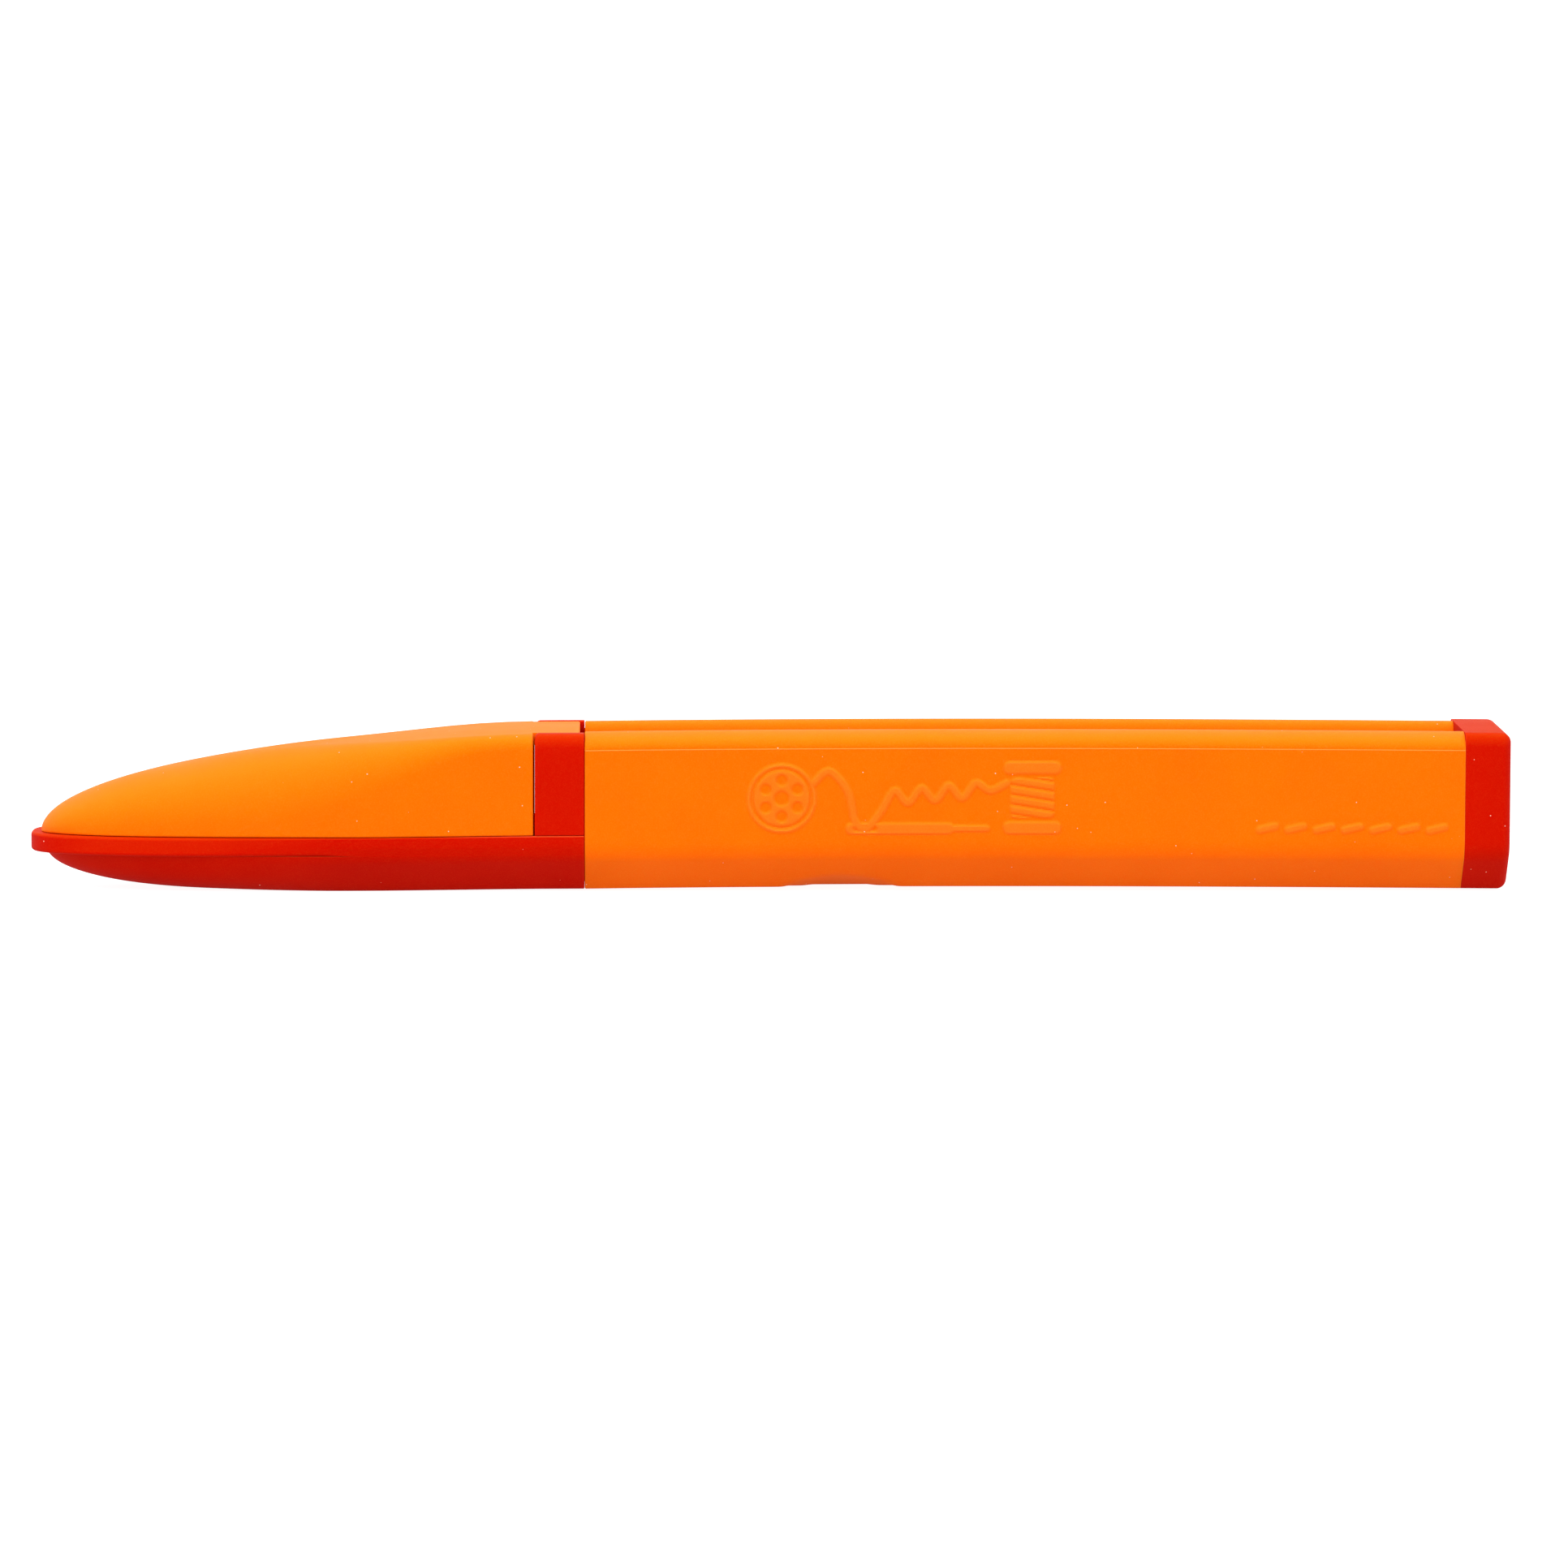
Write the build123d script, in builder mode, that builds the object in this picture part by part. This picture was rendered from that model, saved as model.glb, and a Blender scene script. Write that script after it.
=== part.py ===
"""Boat-nosed storage case for sewing-machine bobbins, moulded in soft silicone.

A long open-topped channel holds a row of bobbins on edge. Its tail is closed by a cap. Its front
end takes a hollow nose, which pulls off forwards and whose hood lifts on a hinge at its rear.

Units are millimetres. +X runs from the nose to the tail and +Z is up. The origin is the centre of
the footprint, on the ground.
"""

import os
from math import atan2, cos, pi, radians, sin, tan

from build123d import *

os.makedirs("parts", exist_ok=True)

# ---------------------------------------------------------------- driving dimensions
LENGTH = 241.0
HALF_WIDTH = 12.75
HEIGHT = 26.0

FLOOR = 2.5               # thickness under the channel
WALL = 2.35               # thickness of the side walls
GAP = 0.05                # clearance of every sliding or bonded joint

# stations along the length
RIM_TIP_X = -LENGTH / 2
HOOD_TIP_X = RIM_TIP_X + 1.65
HULL_TIP_X = RIM_TIP_X + 2.6
FLUSH_X = -66.0           # behind this the rim, the hull and the sleeve are one straight side
HOOD_REAR_X = -38.4
POST_FRONT_X = -38.15
POST_REAR_X = -30.3
TRAY_REAR_X = -30.1
SLEEVE_FRONT_X = -30.05
SPIGOT_END_X = -24.05
CAP_X = 113.0
TAIL_X = LENGTH / 2

# cross-section of the channel
BOTTOM_HALF = 6.75        # half-width of the flat underside
CHAMFER_TOP = 6.3         # height where the large bottom chamfer meets the side
CHAMFER_SOFTNESS = 4.0    # radius of that soft edge
LEDGE_BOTTOM = 23.2       # the small moulded ledge under the shoulder
LEDGE_IN = 0.25
LEDGE_UP = 0.3
LIP_RADIUS = 1.3          # bullnose of each lip
LIP_Y = 8.6               # centre line of each lip's crest
CAVITY_HALF = HALF_WIDTH - WALL
CAVITY_CORNER = 7.3
SKIN = 1.1                # sleeve and tray wall left outside the collar's ring

# nose
NOSE_LENGTH = 32.0        # length of the blunt curve in plan
KEEL_LENGTH = 28.0        # length of the sweep of the hull's underside
RIM_TOP = 9.35
RIM_BOTTOM = 6.3
RIM_END_X = -62.0
HOOD_BASE = 9.5
HOOD_TOP = 25.6
HOOD_WALL = 2.0
HOOD_WAIST = 0.7          # how far the hood and hull stand in from the rim near the tip
TRAY_WALL = 4.2           # side walls of the tray, which carry the upstand
COAMING_TOP = 10.7        # low upstand of the tray that the hood fits over
COAMING_GAP = 0.6
COAMING_SETBACK = 4.1     # how far the upstand's tip stands behind the hood's
RING_SETBACK = 1.0        # the collar's ring starts this far behind its posts

# tongue hinge
POST_INNER_Y = 9.55
POST_TOP = 25.75
TONGUE_HALF = 9.3
TONGUE_THICK = 1.95
BEAD_RADIUS = 1.3
HINGE_X = POST_REAR_X - 0.55 - BEAD_RADIUS
HINGE_Z = HOOD_TOP - BEAD_RADIUS
TRUNNION_RADIUS = 0.8
TRUNNION_REACH = 1.0      # how far each trunnion enters its post
TRUNNION_END_GAP = 0.15

# cap and grip
CAP_TOP = 25.7
CAP_ROUND = 1.2
CAP_PLUG = 1.0
GRIP_X = 11.6
GRIP_RADIUS = 40.5
GRIP_DEPTH = 1.25
GRIP_TILT = 23.2          # degrees the scoop leans out from straight down

# derived heights of the channel section
LEDGE_TOP = LEDGE_BOTTOM + LEDGE_UP
SHOULDER_Y = HALF_WIDTH - LEDGE_IN
LIP_Z = HEIGHT - LIP_RADIUS
LIP_UNDER = LIP_Z - LIP_RADIUS
UNDER_CORNER = CAVITY_HALF - LIP_Y
GRIP_Y = BOTTOM_HALF + (GRIP_RADIUS - GRIP_DEPTH) * sin(radians(GRIP_TILT))
GRIP_Z = -(GRIP_RADIUS - GRIP_DEPTH) * cos(radians(GRIP_TILT))
RING_FRONT_X = POST_FRONT_X + RING_SETBACK


# ---------------------------------------------------------------- shared cross-sections
def outer_section(x, inset=0.0):
    """Closed outline of the case at x, without its mouth, set in all round by inset."""
    slope = atan2(CHAMFER_TOP, HALF_WIDTH - BOTTOM_HALF)
    side = HALF_WIDTH - inset
    shoulder = SHOULDER_Y - inset
    top = HEIGHT - inset
    with BuildSketch(Plane.YZ.offset(x)) as section:
        with BuildLine():
            Polyline(
                (0, inset),
                (BOTTOM_HALF - inset * tan(slope / 2), inset),
                (side, CHAMFER_TOP + inset * tan(pi / 4 - slope / 2)),
                (side, LEDGE_BOTTOM),
                (shoulder, LEDGE_TOP),
            )
            EllipticalCenterArc(
                (LIP_Y, LEDGE_TOP), shoulder - LIP_Y, top - LEDGE_TOP, start_angle=0, arc_size=90
            )
            Line((LIP_Y, top), (0, top))
            mirror(about=Plane.YZ)
        make_face()
        fillet(section.vertices().group_by(Axis.Y)[1], CHAMFER_SOFTNESS - inset)
    return section.sketch


def cavity_section(x):
    """Hollow of the channel at x: round-bottomed, with the mouth between the two lips."""
    side_bottom = FLOOR + CAVITY_CORNER
    side_top = LIP_UNDER - UNDER_CORNER
    with BuildSketch(Plane.YZ.offset(x)) as section:
        with BuildLine():
            Line((0, FLOOR), (CAVITY_HALF - CAVITY_CORNER, FLOOR))
            CenterArc((CAVITY_HALF - CAVITY_CORNER, side_bottom), CAVITY_CORNER, -90, 90)
            Line((CAVITY_HALF, side_bottom), (CAVITY_HALF, side_top))
            CenterArc((LIP_Y, side_top), UNDER_CORNER, 0, 90)
            ThreePointArc((LIP_Y, LIP_UNDER), (LIP_Y - LIP_RADIUS, LIP_Z), (LIP_Y, HEIGHT))
            Line((LIP_Y, HEIGHT), (0, HEIGHT))
            mirror(about=Plane.YZ)
        make_face()
    return section.sketch


def smooth_step(value, low, high):
    """0 below low, 1 above high, with a smooth rise between."""
    along = min(1.0, max(0.0, (value - low) / (high - low)))
    return along * along * (3 - 2 * along)


def nose_half_width(x, tip_x):
    """Half-width at x of a blunt rounded plan shape whose tip is at tip_x."""
    along = min(1.0, max(0.0, (x - tip_x) / NOSE_LENGTH))
    return HALF_WIDTH * (1 - (1 - along) ** 2.2) ** (1 / 2.8)


def body_half_width(x, tip_x):
    """The same for the hood and the hull, which stand in from the rim ahead of FLUSH_X."""
    waist = HOOD_WAIST * (1 - smooth_step(x, FLUSH_X - NOSE_LENGTH, FLUSH_X))
    return nose_half_width(x, tip_x) - waist * nose_half_width(x, tip_x) / HALF_WIDTH


def hood_rise(x):
    """Height of the hood's ridge above its base at x."""
    along = min(1.0, (x - HOOD_TIP_X) / (HOOD_REAR_X - HOOD_TIP_X))
    return (HOOD_TOP - HOOD_BASE) * (1 - (1 - along) ** 1.8) ** (1 / 1.9)


def keel_height(x):
    """Height of the hull's underside at x, sweeping up to the rim at the tip."""
    along = min(1.0, (x - HULL_TIP_X) / KEEL_LENGTH)
    return RIM_BOTTOM * (1 - (1 - (1 - along) ** 2.4) ** 0.5)


def plan_face(tip_x, rear_x, inset, z):
    """Face at height z inside the blunt nose curve, set in by inset and closed straight behind."""
    with BuildSketch(Plane.XY.offset(z)) as face:
        with BuildLine():
            points = [(tip_x, 0)]
            for step in (0.02, 0.08, 0.2, 0.38, 0.62, 1.0):
                x = tip_x + NOSE_LENGTH * step
                points.append((x, nose_half_width(x, tip_x) * (1 - inset / HALF_WIDTH)))
            Spline(*points, tangents=[(0, 1), (1, 0)])
            Line(points[-1], (rear_x, points[-1][1]))
            Line((rear_x, points[-1][1]), (rear_x, 0))
            mirror(about=Plane.XZ)
        make_face()
    return face.sketch


def dome_section(x, half_width, base, rise):
    """Arched section: a plain dome near the tip, flat-topped with square shoulders at the rear."""
    squareness = smooth_step(x, -92.0, -44.0)
    side_z = base + rise * (0.10 + 0.74 * squareness)
    flat_y = half_width * (0.10 + 0.70 * squareness)
    top = base + rise
    handle = 0.6
    with BuildSketch(Plane.YZ.offset(x)) as section:
        with BuildLine():
            Line((0, base), (half_width, base))
            Line((half_width, base), (half_width, side_z))
            Bezier(
                (half_width, side_z),
                (half_width, side_z + handle * (top - side_z)),
                (flat_y + handle * (half_width - flat_y), top),
                (flat_y, top),
            )
            Line((flat_y, top), (0, top))
            mirror(about=Plane.YZ)
        make_face()
    return section.sketch


def hull_section(x, half_width, keel):
    """Hull section: round like a boat near the tip, the chamfered channel shape at FLUSH_X."""
    squareness = smooth_step(x, HULL_TIP_X, FLUSH_X)
    depth = RIM_TOP - keel
    side_z = keel + depth * 0.86
    bottom_y = half_width * (0.25 + (BOTTOM_HALF / HALF_WIDTH - 0.25) * squareness)
    lower_y = bottom_y + (half_width - bottom_y) * (0.6 + 0.15 * squareness)
    lower_z = keel + depth * 0.48 * squareness
    with BuildSketch(Plane.YZ.offset(x)) as section:
        with BuildLine():
            Line((0, RIM_TOP), (half_width, RIM_TOP))
            Line((half_width, RIM_TOP), (half_width, side_z))
            Bezier(
                (half_width, side_z),
                (half_width, side_z - 0.2 * depth),
                (lower_y, lower_z),
                (bottom_y, keel),
            )
            Line((bottom_y, keel), (0, keel))
            mirror(about=Plane.YZ)
        make_face()
    return section.sketch


def tray_hollow_section(x, half_width, floor):
    """Round-bottomed hollow of the tray at x, open above the rim."""
    top = COAMING_TOP + 1
    corner = min(CAVITY_CORNER, 0.8 * (RIM_TOP - floor), 0.8 * half_width)
    handle = 0.45 * corner
    with BuildSketch(Plane.YZ.offset(x)) as section:
        with BuildLine():
            Line((0, top), (half_width, top))
            Line((half_width, top), (half_width, floor + corner))
            Bezier(
                (half_width, floor + corner),
                (half_width, floor + handle),
                (half_width - corner + handle, floor),
                (half_width - corner, floor),
            )
            Line((half_width - corner, floor), (0, floor))
            mirror(about=Plane.YZ)
        make_face()
    return section.sketch


# ---------------------------------------------------------------- sleeve
with BuildPart() as sleeve:
    extrude(outer_section(SLEEVE_FRONT_X), amount=CAP_X - SLEEVE_FRONT_X)
    extrude(cavity_section(SLEEVE_FRONT_X), amount=CAP_X - SLEEVE_FRONT_X, mode=Mode.SUBTRACT)
    # socket for the collar's spigot
    extrude(
        outer_section(SLEEVE_FRONT_X, inset=SKIN),
        amount=SPIGOT_END_X + GAP - SLEEVE_FRONT_X,
        mode=Mode.SUBTRACT,
    )
    # shallow thumb scoops on both lower edges
    for side in (-1, 1):
        with Locations((GRIP_X, side * GRIP_Y, GRIP_Z)):
            Sphere(GRIP_RADIUS, mode=Mode.SUBTRACT)
sleeve.part.label = "sleeve"

# ---------------------------------------------------------------- end cap
with BuildPart() as end_cap:
    extrude(outer_section(CAP_X), amount=TAIL_X - CAP_X)
    with Locations((CAP_X, 0, CAP_TOP)):
        Box(LENGTH, LENGTH, HEIGHT, align=(Align.CENTER, Align.CENTER, Align.MIN), mode=Mode.SUBTRACT)
    fillet(end_cap.faces().sort_by(Axis.X)[-1].edges(), CAP_ROUND)
    # shallow plug that locates the cap in the channel
    with BuildSketch(Plane.YZ.offset(CAP_X)) as plug:
        with Locations((0, (FLOOR + LIP_UNDER) / 2)):
            Rectangle(2 * (CAVITY_HALF - GAP), LIP_UNDER - FLOOR - 2 * GAP)
        fillet(plug.vertices().group_by(Axis.Y)[0], CAVITY_CORNER)
        fillet(plug.vertices().group_by(Axis.Y)[-1], UNDER_CORNER)
    extrude(amount=-CAP_PLUG)
end_cap.part.label = "end_cap"

# ---------------------------------------------------------------- collar
with BuildPart() as collar:
    # full-width posts above the tray
    extrude(outer_section(POST_FRONT_X), amount=POST_REAR_X - POST_FRONT_X)
    with Locations((POST_FRONT_X, 0, POST_TOP)):
        Box(LENGTH, LENGTH, HEIGHT, align=(Align.CENTER, Align.CENTER, Align.MIN), mode=Mode.SUBTRACT)
    with Locations((POST_FRONT_X, 0, RIM_TOP + GAP)):
        Box(LENGTH, LENGTH, HEIGHT, align=(Align.CENTER, Align.CENTER, Align.MAX), mode=Mode.SUBTRACT)
    # C-shaped ring, its rear half the spigot that plugs into the sleeve
    extrude(outer_section(RING_FRONT_X, inset=SKIN + GAP), amount=SPIGOT_END_X - RING_FRONT_X)
    extrude(cavity_section(POST_FRONT_X), amount=SPIGOT_END_X - POST_FRONT_X, mode=Mode.SUBTRACT)
    # room for the tongue between the posts
    with Locations((POST_REAR_X, 0, CAVITY_HALF)):
        Box(
            2 * (POST_REAR_X - POST_FRONT_X),
            2 * POST_INNER_Y,
            HEIGHT,
            align=(Align.MAX, Align.CENTER, Align.MIN),
            mode=Mode.SUBTRACT,
        )
    # blind holes for the tongue's trunnions
    hole_end = POST_INNER_Y + TRUNNION_REACH + TRUNNION_END_GAP
    with Locations((HINGE_X, 0, HINGE_Z)):
        Cylinder(TRUNNION_RADIUS + GAP, 2 * hole_end, rotation=(90, 0, 0), mode=Mode.SUBTRACT)
collar.part.label = "collar"

# ---------------------------------------------------------------- nose tray
HULL_STATIONS = [HULL_TIP_X + step for step in (0, 1.2, 3.5, 7, 12, 18, 24, 30, 38, 46)]
HOLLOW_STATIONS = [HULL_TIP_X + step for step in (5, 8, 12, 18, 24, 30, 38, 46)]
with BuildPart() as nose_tray:
    hull = []
    for x in HULL_STATIONS + [FLUSH_X]:
        half_width = max(1.8, body_half_width(x, HULL_TIP_X))
        hull.append(hull_section(x, half_width, 0.82 * keel_height(x)))
    loft(hull)
    extrude(outer_section(FLUSH_X), amount=TRAY_REAR_X - FLUSH_X)
    with Locations((FLUSH_X, 0, RIM_TOP)):
        Box(LENGTH, LENGTH, HEIGHT, align=(Align.CENTER, Align.CENTER, Align.MIN), mode=Mode.SUBTRACT)
    # projecting rim, and the low upstand that the hood fits over
    extrude(plan_face(RIM_TIP_X, RIM_END_X, 0, RIM_BOTTOM), amount=RIM_TOP - RIM_BOTTOM)
    coaming_tip_x = HOOD_TIP_X + COAMING_SETBACK
    coaming_inset = HOOD_WAIST + HOOD_WALL + COAMING_GAP
    extrude(
        plan_face(coaming_tip_x, POST_FRONT_X, coaming_inset, RIM_BOTTOM),
        amount=COAMING_TOP - RIM_BOTTOM,
    )
    # hollow, round-bottomed like the channel
    hollow = []
    for x in HOLLOW_STATIONS + [FLUSH_X]:
        half_width = body_half_width(x, HULL_TIP_X + TRAY_WALL) - TRAY_WALL
        hollow.append(tray_hollow_section(x, half_width, 0.82 * keel_height(x) + FLOOR))
    loft(hollow, mode=Mode.SUBTRACT)
    extrude(hollow[-1], amount=POST_FRONT_X - FLUSH_X, mode=Mode.SUBTRACT)
    extrude(cavity_section(POST_FRONT_X), amount=TRAY_REAR_X - POST_FRONT_X, mode=Mode.SUBTRACT)
    # socket for the front half of the collar's ring
    extrude(
        outer_section(RING_FRONT_X - GAP, inset=SKIN),
        amount=TRAY_REAR_X - RING_FRONT_X + GAP,
        mode=Mode.SUBTRACT,
    )
nose_tray.part.label = "nose_tray"

# ---------------------------------------------------------------- nose lid
HOOD_STATIONS = [HOOD_TIP_X + step for step in (0, 1.0, 3, 6.5, 12, 20, 30, 42, 54, 60, 66, 73)]
HOOD_HOLLOW_STATIONS = [HOOD_TIP_X + step for step in (2.6, 4.5, 7.5, 12, 20, 30, 42, 54, 60, 66, 73)]
with BuildPart() as nose_lid:
    hood = []
    for x in HOOD_STATIONS + [HOOD_REAR_X]:
        half_width = max(2.4, body_half_width(x, HOOD_TIP_X))
        hood.append(dome_section(x, half_width, HOOD_BASE, max(0.9, hood_rise(x))))
    loft(hood)
    hood_hollow = []
    for x in HOOD_HOLLOW_STATIONS + [HOOD_REAR_X]:
        half_width = body_half_width(x, HOOD_TIP_X) - HOOD_WALL
        rise = hood_rise(x) - HOOD_WALL + 1
        hood_hollow.append(dome_section(x, half_width, HOOD_BASE - 1, rise))
    loft(hood_hollow, mode=Mode.SUBTRACT)
    # tongue, its rear end rounded about the hinge line, with a trunnion at each side
    with BuildSketch(Plane.XZ.offset(-TONGUE_HALF)):
        with Locations((HINGE_X, HOOD_TOP)):
            Rectangle(HINGE_X - HOOD_REAR_X + 1, TONGUE_THICK, align=(Align.MAX, Align.MAX))
        with Locations((HINGE_X, HINGE_Z)):
            Circle(BEAD_RADIUS)
    extrude(amount=2 * TONGUE_HALF)
    with Locations((HINGE_X, 0, HINGE_Z)):
        Cylinder(TRUNNION_RADIUS, 2 * (POST_INNER_Y + TRUNNION_REACH), rotation=(90, 0, 0))
nose_lid.part.label = "nose_lid"

for piece in (sleeve, end_cap, collar, nose_tray, nose_lid):
    export_step(piece.part, f"parts/{piece.part.label}.step")
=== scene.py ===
"""Looks of a boat-nosed bobbin storage case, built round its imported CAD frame.

Every piece is soft matte silicone. Outlines are worked out in millimetres in the frame's own axes,
+X from the nose to the tail and +Z up, and turned to metres when a mesh is made.
"""

import bmesh
import bpy
import numpy as np
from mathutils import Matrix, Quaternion, Vector


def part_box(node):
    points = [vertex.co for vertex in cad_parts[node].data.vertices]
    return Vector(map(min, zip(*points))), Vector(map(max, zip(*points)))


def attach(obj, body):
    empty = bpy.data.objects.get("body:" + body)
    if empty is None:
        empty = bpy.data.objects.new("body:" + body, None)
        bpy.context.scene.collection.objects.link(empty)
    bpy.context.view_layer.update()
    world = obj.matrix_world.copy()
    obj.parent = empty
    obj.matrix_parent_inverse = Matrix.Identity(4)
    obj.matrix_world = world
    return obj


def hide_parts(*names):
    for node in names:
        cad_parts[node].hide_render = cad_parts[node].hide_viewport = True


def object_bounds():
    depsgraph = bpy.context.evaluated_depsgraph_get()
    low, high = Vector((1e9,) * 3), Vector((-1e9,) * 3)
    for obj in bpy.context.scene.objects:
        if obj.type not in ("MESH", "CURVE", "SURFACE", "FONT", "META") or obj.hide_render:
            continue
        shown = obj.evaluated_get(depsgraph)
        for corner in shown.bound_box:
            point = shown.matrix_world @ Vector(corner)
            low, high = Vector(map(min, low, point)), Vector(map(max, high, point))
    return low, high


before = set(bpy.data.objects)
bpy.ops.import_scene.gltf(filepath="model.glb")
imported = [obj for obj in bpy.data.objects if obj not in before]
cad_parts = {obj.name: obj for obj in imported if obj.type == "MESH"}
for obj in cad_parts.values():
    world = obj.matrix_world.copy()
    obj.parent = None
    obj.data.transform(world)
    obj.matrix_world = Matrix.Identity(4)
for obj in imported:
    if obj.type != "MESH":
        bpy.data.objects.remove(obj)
cad_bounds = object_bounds()

MM = 0.001


def span(node):
    """Lowest and highest corner of a CAD node, in millimetres."""
    low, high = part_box(node)
    return low / MM, high / MM


sleeve_low, sleeve_high = span("sleeve")
cap_low, cap_high = span("end_cap")
collar_low, collar_high = span("collar")
tray_low, tray_high = span("nose_tray")
lid_low, lid_high = span("nose_lid")

# stations along the length, from the frame
TAIL_X = cap_high.x
CAP_X = sleeve_high.x
SLEEVE_X = sleeve_low.x
SPIGOT_X = collar_high.x
TRAY_REAR_X = tray_high.x
POST_FRONT_X = collar_low.x
POST_REAR_X = SLEEVE_X - 0.08
HOOD_REAR_X = POST_FRONT_X - 0.25
HOOD_TIP_X = lid_low.x
RIM_TIP_X = tray_low.x
HULL_TIP_X = RIM_TIP_X + 2.6
FLUSH_X = -66.0

# channel section
HALF_WIDTH = sleeve_high.y
HEIGHT = sleeve_high.z
FLOOR = 2.5
WALL = 2.35
BOTTOM_HALF = 6.75
CHAMFER_TOP = 6.3
CHAMFER_SOFTNESS = 5.0
BOTTOM_ROUND = 0.9
FLASH_Z = 23.2
FLASH_OUT = 0.05
FLASH_TALL = 0.12
LIP_Y = 8.6
LIP_RADIUS = 1.3
LIP_REACH = 1.9
LIP_EDGE = 0.1
LIP_UNDER_Z = HEIGHT - 2 * LIP_RADIUS
CAVITY_HALF = HALF_WIDTH - WALL
CAVITY_CORNER = 7.3
SKIN = 1.1
GAP = 0.05

# nose: powers of the blunt curve that its plan follows, lengthwise and crosswise
NOSE_LENGTH = 32.0
PLAN_LENGTHWISE = 2.2
PLAN_CROSSWISE = 2.8
RIM_TOP = lid_low.z - 0.15
RIM_BOTTOM = RIM_TOP - 3.05
RIM_ROUND = 0.55
RIM_FLUSH_ROUND = 0.22
RIM_PROUD = 3.0
RIM_LEAN = 0.6
RIM_FULL_X = -95.0
RIM_FADED_X = -62.0
HOOD_BASE = lid_low.z - 0.06
HOOD_TOP = lid_high.z
HOOD_CREST = HOOD_TOP + 0.28
HOOD_WALL = 2.0
HOOD_SETBACK = 2.6
WAIST = 0.7
COAMING_TOP = tray_high.z
COAMING_OUT = 3.3
COAMING_IN = 4.2
COAMING_OUT_TIP_X = HOOD_TIP_X + 4.1
COAMING_IN_TIP_X = HOOD_TIP_X + 5.0

# tongue hinge and posts
TONGUE_HALF = 9.3
TONGUE_THICK = 1.95
BEAD_RADIUS = 1.3
HINGE_X = SLEEVE_X - 0.8 - BEAD_RADIUS
HINGE_Z = HOOD_TOP - BEAD_RADIUS
TONGUE_END_X = HINGE_X + BEAD_RADIUS
TONGUE_ROUND = 0.3
TONGUE_SHARE = TONGUE_HALF / (0.8 * HALF_WIDTH)
TRUNNION_RADIUS = 0.8
TRUNNION_END = collar_high.y - 2.2
POST_INNER_Y = 9.55
POST_TOP = 25.94
POST_ROUND = 0.25
SHOULDER_Y = 11.2
SHOULDER_DROP = 2.4

# soft bow of the whole case
BOW = 0.4
NOSE_DROOP = 0.36
DROOP_END_X = -70.0


# ---------------------------------------------------------------- outline helpers
def smooth_step(value, low, high):
    """0 below low, 1 above high, with a smooth rise between."""
    along = np.clip((value - low) / (high - low), 0.0, 1.0)
    return along * along * (3 - 2 * along)


def arc(centre, radii, start, end, segments):
    """Points on an ellipse arc from start to end degrees."""
    turns = np.radians(np.linspace(start, end, segments + 1))
    return [(centre[0] + radii[0] * np.cos(t), centre[1] + radii[1] * np.sin(t)) for t in turns]


def bezier(a, b, c, d, segments):
    """Points on a cubic curve from a to d."""
    points = []
    for t in np.linspace(0, 1, segments + 1):
        weights = ((1 - t) ** 3, 3 * t * (1 - t) ** 2, 3 * t * t * (1 - t), t**3)
        points.append(tuple(sum(w * np.array(p) for w, p in zip(weights, (a, b, c, d)))))
    return points


def line(a, b, segments):
    """Evenly spaced points from a to b."""
    return [tuple(np.array(a) + (np.array(b) - np.array(a)) * t) for t in np.linspace(0, 1, segments + 1)]


def chain(*stretches):
    """Stretches joined end to start, each shared point kept once."""
    path = list(stretches[0])
    for stretch in stretches[1:]:
        path += list(stretch)[1:]
    return path


def fillet(before, corner, after, radius, segments=6):
    """Points of the arc that rounds a corner between two straight stretches."""
    corner = np.array(corner, float)
    u = np.array(before) - corner
    v = np.array(after) - corner
    u /= np.linalg.norm(u)
    v /= np.linalg.norm(v)
    half = np.arccos(u @ v) / 2
    centre = corner + (u + v) / np.linalg.norm(u + v) * radius / np.sin(half)
    start = corner + u * radius / np.tan(half) - centre
    end = corner + v * radius / np.tan(half) - centre
    turn = np.pi - 2 * half
    points = []
    for t in np.linspace(0, 1, segments + 1):
        spoke = (np.sin((1 - t) * turn) * start + np.sin(t * turn) * end) / np.sin(turn)
        points.append(tuple(centre + spoke))
    return points


def resample(path, count):
    """count points spaced evenly along path, both ends kept."""
    points = np.array(path)
    steps = np.linalg.norm(np.diff(points, axis=0), axis=1)
    lengths = np.concatenate([[0.0], np.cumsum(steps)])
    wanted = np.linspace(0, lengths[-1], count)
    return list(zip(np.interp(wanted, lengths, points[:, 0]), np.interp(wanted, lengths, points[:, 1])))


def both_sides(right, left=None):
    """Closed loop from a path on the +Y side, from bottom to top centre, and its -Y partner."""
    left = right if left is None else left
    return list(right) + [(-y, z) for y, z in reversed(left[1:-1])]


def ring(x, loop):
    """Loop of (y, z) points stood up at station x."""
    return [(x, y, z) for y, z in loop]


def quarter_round(start_x, radius, direction, steps=4):
    """Stations and insets of an end edge rounded by radius, from the end face inwards."""
    turns = np.radians(np.linspace(0, 90, steps + 1))
    return [(start_x + direction * radius * (1 - np.cos(t)), radius * (1 - np.sin(t))) for t in turns]


# ---------------------------------------------------------------- mesh helpers
def arch(x):
    """Rise of the soft case at x: bowed up along the sleeve, drooping slightly at the nose."""
    along = np.clip((x - SLEEVE_X) / (TAIL_X - SLEEVE_X), 0.0, 1.0)
    droop = NOSE_DROOP * smooth_step(-x, -SLEEVE_X, -DROOP_END_X)
    return BOW * np.sin(np.pi * along**0.85) - droop


def grid_faces(rows, count, closed=True):
    """Quads of a grid of vertices; closed joins the last column to the first."""
    faces = []
    for row in range(rows - 1):
        for column in range(count if closed else count - 1):
            a = row * count + column
            b = row * count + (column + 1) % count
            faces.append((a, b, b + count, a + count))
    return faces


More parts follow.
